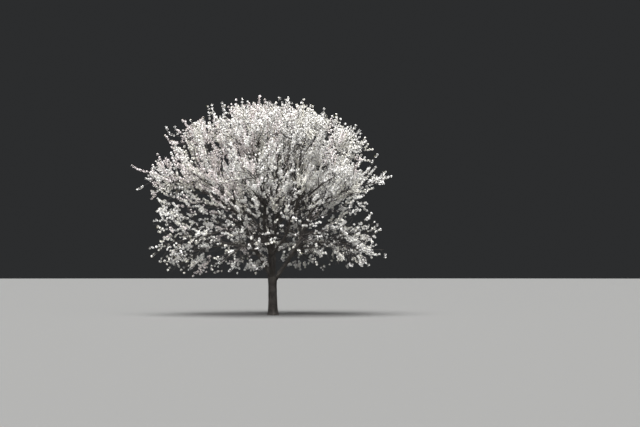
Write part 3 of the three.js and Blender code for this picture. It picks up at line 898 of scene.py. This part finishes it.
CLUMP = 0.17  # size of the clumps that the blossom gathers in where there is shade
CLUMPING = (0.28, -1.0)  # how full of them the crown is, in the shade and in the light
SCATTER = (0.035, 0.014)  # how far a cluster may sit from its shoot, likewise
PETALS = 5
TINTS = {
    "white": (0.88, 0.87, 0.855),
    "cream": (0.87, 0.852, 0.805),
    "blush": (0.86, 0.80, 0.80),
}
PETAL_SHADE = 0.93
STAMENS = (0.42, 0.36, 0.12), (0.68, 0.62, 0.36)  # greenish yellow, and paler
YOUNG_LEAVES = (0.15, 0.17, 0.05), (0.30, 0.25, 0.10)  # soft bronze green
CREAM_SHARE = 0.24
BLUSH_SHARE = (0.06, 0.45)  # of the sprays: on most boughs, and high on the left of the crown
BLUSH_PLACE = {"left": (0, 3), "heights": (3, 5)}
rng = np.random.default_rng(20)


def along_shoots(shoots, bare):
    """Points at every spur's step along shoots past their bare share, with a little jitter."""
    counts = np.maximum(1, np.round(shoots.length * (1.0 - bare) / SPUR_STEP)).astype(int)
    number = np.repeat(np.arange(len(shoots)), counts)
    order = np.arange(len(number)) - np.repeat(np.cumsum(counts) - counts, counts)
    share = mix((bare, 1.0), (order + rng.uniform(*SPUR_JITTER, len(number))) / counts[number])
    return shoots.kept(number).at(share[:, None])[:, 0]


def on_sphere(height, turn):
    """Directions at heights from -1 to 1 and at turns round the pole."""
    level = np.sqrt(1 - height**2)
    return np.stack([level * np.cos(turn), level * np.sin(turn), height], axis=1)


def any_direction(count):
    """Directions spread evenly over a sphere."""
    height = rng.uniform(-1, 1, count)
    return on_sphere(height, rng.uniform(0, TAU, count))


def cluster_flowers(middles):
    """Where the flowers of each cluster sit and which way they face: spread round the cluster by a spiral
    from pole to pole, under a turn of its own."""
    count = len(middles)
    k = np.arange(FLOWERS)
    spiral = on_sphere(1 - (2 * k + 1) / FLOWERS, k * GOLDEN_TURN)
    pole = any_direction(count)
    side = unit(np.cross(pole, any_direction(count)))
    basis = np.stack([side, np.cross(pole, side), pole], axis=1)
    facing = unit(spiral @ basis + rng.normal(0, FLOWER_TILT, (count, FLOWERS, 3)))
    reach = CLUSTER_RADIUS * rng.uniform(*CLUSTER_STRAY, (count, FLOWERS, 1))
    return (middles[:, None] + facing * reach).reshape(-1, 3), facing.reshape(-1, 3)


def petal_mesh(middles, facing):
    """Open flowers. A petal is a kite of two faces from the flower's middle to its shoulders and its tip,
    lifted towards the way the flower faces by its cup."""
    count = len(middles)
    side = unit(np.cross(facing, any_direction(count)))
    other = np.cross(facing, side)
    radius = FLOWER_RADIUS * rng.uniform(*FLOWER_STRAY, count)[:, None, None]
    cup = rng.uniform(*FLOWER_CUP, count)[:, None, None]
    sides = np.radians([-SHOULDER["turn"], 0, SHOULDER["turn"]])
    angle = (TAU * np.arange(PETALS)[:, None] / PETALS + sides).ravel()
    out = np.tile([SHOULDER["out"], 1.0, SHOULDER["out"]], PETALS)[:, None]
    lift = np.tile([SHOULDER["lift"], 1.0, SHOULDER["lift"]], PETALS)[:, None]
    spokes = np.cos(angle)[:, None] * side[:, None] + np.sin(angle)[:, None] * other[:, None]
    rim = out * spokes + cup * lift * facing[:, None]
    points = np.concatenate([middles[:, None], middles[:, None] + radius * rim], axis=1).reshape(-1, 3)
    first = 1 + 3 * np.arange(PETALS)
    kites = np.concatenate([np.stack([0 * first, first + k, first + k + 1], axis=1) for k in (0, 1)])
    faces = (kites + (np.arange(count) * (1 + 3 * PETALS))[:, None, None]).reshape(-1, 3)
    return points, [faces], side, other


def heart_mesh(middles, facing, side, other):
    """The stamens of each flower, as one small triangle held over its middle."""
    reach = HEART_SIZE["reach"] * FLOWER_RADIUS
    lift = HEART_SIZE["lift"] * FLOWER_RADIUS * facing
    thirds = TAU * np.arange(3) / 3
    corners = [middles + lift + reach * (np.cos(turn) * side + np.sin(turn) * other) for turn in thirds]
    points = np.stack(corners, axis=1).reshape(-1, 3)
    return points, [np.arange(len(points)).reshape(-1, 3)]


def petal_skin(name, colour):
    """Thin white petals: matt, and faintly uneven in tone, down to a share of their colour."""
    colours = tuple(PETAL_SHADE * value for value in colour), colour
    return mottled(name, colours, scale=30, detail=2, places=(0.3, 0.7), roughness=0.75, specular=0.2)


def tint_numbers(shoots):
    """One tint for each spray, dealt by their shares of its bough's sprays."""
    site = sites[shoots.limb_no]
    on_left = way_up(-site[:, 0], BLUSH_PLACE["left"])
    blush = mix(BLUSH_SHARE, on_left * way_up(site[:, 2], BLUSH_PLACE["heights"]))
    dealt = draw(shoots.spray, 70)
    return np.where(dealt < blush, 2, np.where(dealt < blush + CREAM_SHARE, 1, 0))


def leaf_mesh(middles):
    """Young leaves: narrow kites folded along the rib."""
    count = len(middles)
    way = any_direction(count)
    side = unit(np.cross(way, any_direction(count)))
    length = rng.uniform(*LEAF["length"], count)[:, None]
    fold = np.cross(way, side) * length * LEAF["fold"]
    root = middles + way * LEAF["stalk"]
    wide = root + way * length * LEAF["widest"] + fold
    half = side * length * LEAF["half"]
    points = np.stack([root, wide + half, root + way * length, wide - half], axis=1).reshape(-1, 3)
    base = 4 * np.arange(count)[:, None]
    faces = np.concatenate([base + [0, 1, 2], base + [0, 2, 3]])
    return points, [faces]


def cluster_middles(region, tint_number):
    """Where the clusters of a region's sprays of one tint sit. They gather in clumps, where a noise over
    space is above a level that sinks as the light grows."""
    middles = []
    for shoots, _, bare in GROUPS:
        own = region_of(shoots, region)
        own = own.kept((tint_numbers(own) == tint_number) & (blooms(own) | at_rim(own)))
        middles.append(along_shoots(own, bare))
    middles = np.concatenate(middles)
    middles = middles[swells(middles, CLUMP, 7) > mix(CLUMPING, light_at(middles))]
    return middles + mix(SCATTER, light_at(middles))[:, None] * any_direction(len(middles))


petal_skins = {tint: petal_skin(f"{tint}_petals", colour) for tint, colour in TINTS.items()}
stamens = mottled("stamens", STAMENS, scale=90, detail=1, places=(0.35, 0.65), roughness=0.8)
young_leaves = mottled("young_leaves", YOUNG_LEAVES, scale=25, detail=2, places=(0.35, 0.65), roughness=0.55)
for region in REGIONS:
    hearts, leaves = [], []
    for tint_number, tint in enumerate(TINTS):
        middles = cluster_middles(region, tint_number)
        flowers, facing = cluster_flowers(middles)
        points, faces, side, other = petal_mesh(flowers, facing)
        crown_piece(region, f"{tint}_petals", (points, faces), petal_skins[tint])
        hearts.append(heart_mesh(flowers, facing, side, other))
        leaves.append(leaf_mesh(middles[rng.random(len(middles)) < LEAF["share"]]))
    crown_piece(region, "stamens", joined(hearts), stamens)
    crown_piece(region, "young_leaves", joined(leaves), young_leaves)


# The studio
# A pale floor, a plain dark surround, one broad soft light from high up and a weak one on the right.
# The camera stands on the ground a long way off, as the photographer did, and looks up a little.
PICTURE = (640, 427)
FOOT_PIXEL = (273, 315)  # where the trunk meets the ground in the photograph
METRES_PER_PIXEL = 0.039
DISTANCE = 49.0
EYE_HEIGHT = 1.6
SENSOR = 36  # width in millimetres
FLOOR = {"sides": 96, "radius": 400, "colour": (0.135, 0.135, 0.132, 1), "roughness": 0.9}
SUNS = {  # where they stand, their strength, and the angle that they fill in degrees
    "key": ((-0.15, -0.42, 1.3), 9.4, 50),
    "fill": ((0.3, -0.9, 1.0), 1.05, 70),
}
SURROUND = (0.025, 0.026, 0.027, 1)


def add_floor():
    """A disc of ground out to the horizon, as a fan of triangles round the foot."""
    sides = FLOOR["sides"]
    k = np.arange(sides)
    turn = TAU * k / sides
    rim = FLOOR["radius"] * np.stack([np.cos(turn), np.sin(turn), 0 * turn], axis=1)
    points = np.concatenate([np.zeros((1, 3)), rim])
    mesh = bpy.data.meshes.new("floor")
    mesh.from_pydata(points.tolist(), [], np.stack([0 * k, k + 1, (k + 1) % sides + 1], axis=1).tolist())
    paint = Paint("floor")
    paint.shader["Base Color"].default_value = FLOOR["colour"]
    paint.shader["Roughness"].default_value = FLOOR["roughness"]
    mesh.materials.append(paint.material)
    floor = put("floor", mesh)


def add_sun(name, towards, strength, angle):
    """A distant broad light that shines from a direction."""
    light = bpy.data.lights.new(name, "SUN")
    light.energy = strength
    light.angle = np.radians(angle)
    x, y, z = unit(np.array(towards))
    put(name, light).rotation_euler = (np.arccos(z), 0, np.arctan2(x, -y))


def add_camera():
    """The camera that puts the trunk's foot on its pixel, at the photograph's scale."""
    camera = bpy.data.cameras.new("camera")
    focal_pixels = DISTANCE / METRES_PER_PIXEL
    camera.sensor_width = SENSOR
    camera.lens = SENSOR * focal_pixels / PICTURE[0]
    camera.clip_end = 1000
    right = (FOOT_PIXEL[0] - PICTURE[0] / 2) * METRES_PER_PIXEL
    below = (FOOT_PIXEL[1] - PICTURE[1] / 2) * METRES_PER_PIXEL
    eye = put("camera", camera)
    eye.location = (0, -DISTANCE, EYE_HEIGHT)
    pitch = np.arctan2(below - EYE_HEIGHT, DISTANCE)
    eye.rotation_euler = (np.pi / 2 + pitch, 0, np.arctan2(right, DISTANCE))
    bpy.context.scene.camera = eye


add_floor()
for name, values in SUNS.items():
    add_sun(name, *values)
world = bpy.data.worlds.new("surround")
bpy.context.scene.world = world
world.use_nodes = True
background = world.node_tree.nodes["Background"].inputs
background["Color"].default_value = SURROUND
background["Strength"].default_value = 1.0
bpy.context.scene.view_settings.view_transform = "Standard"
add_camera()
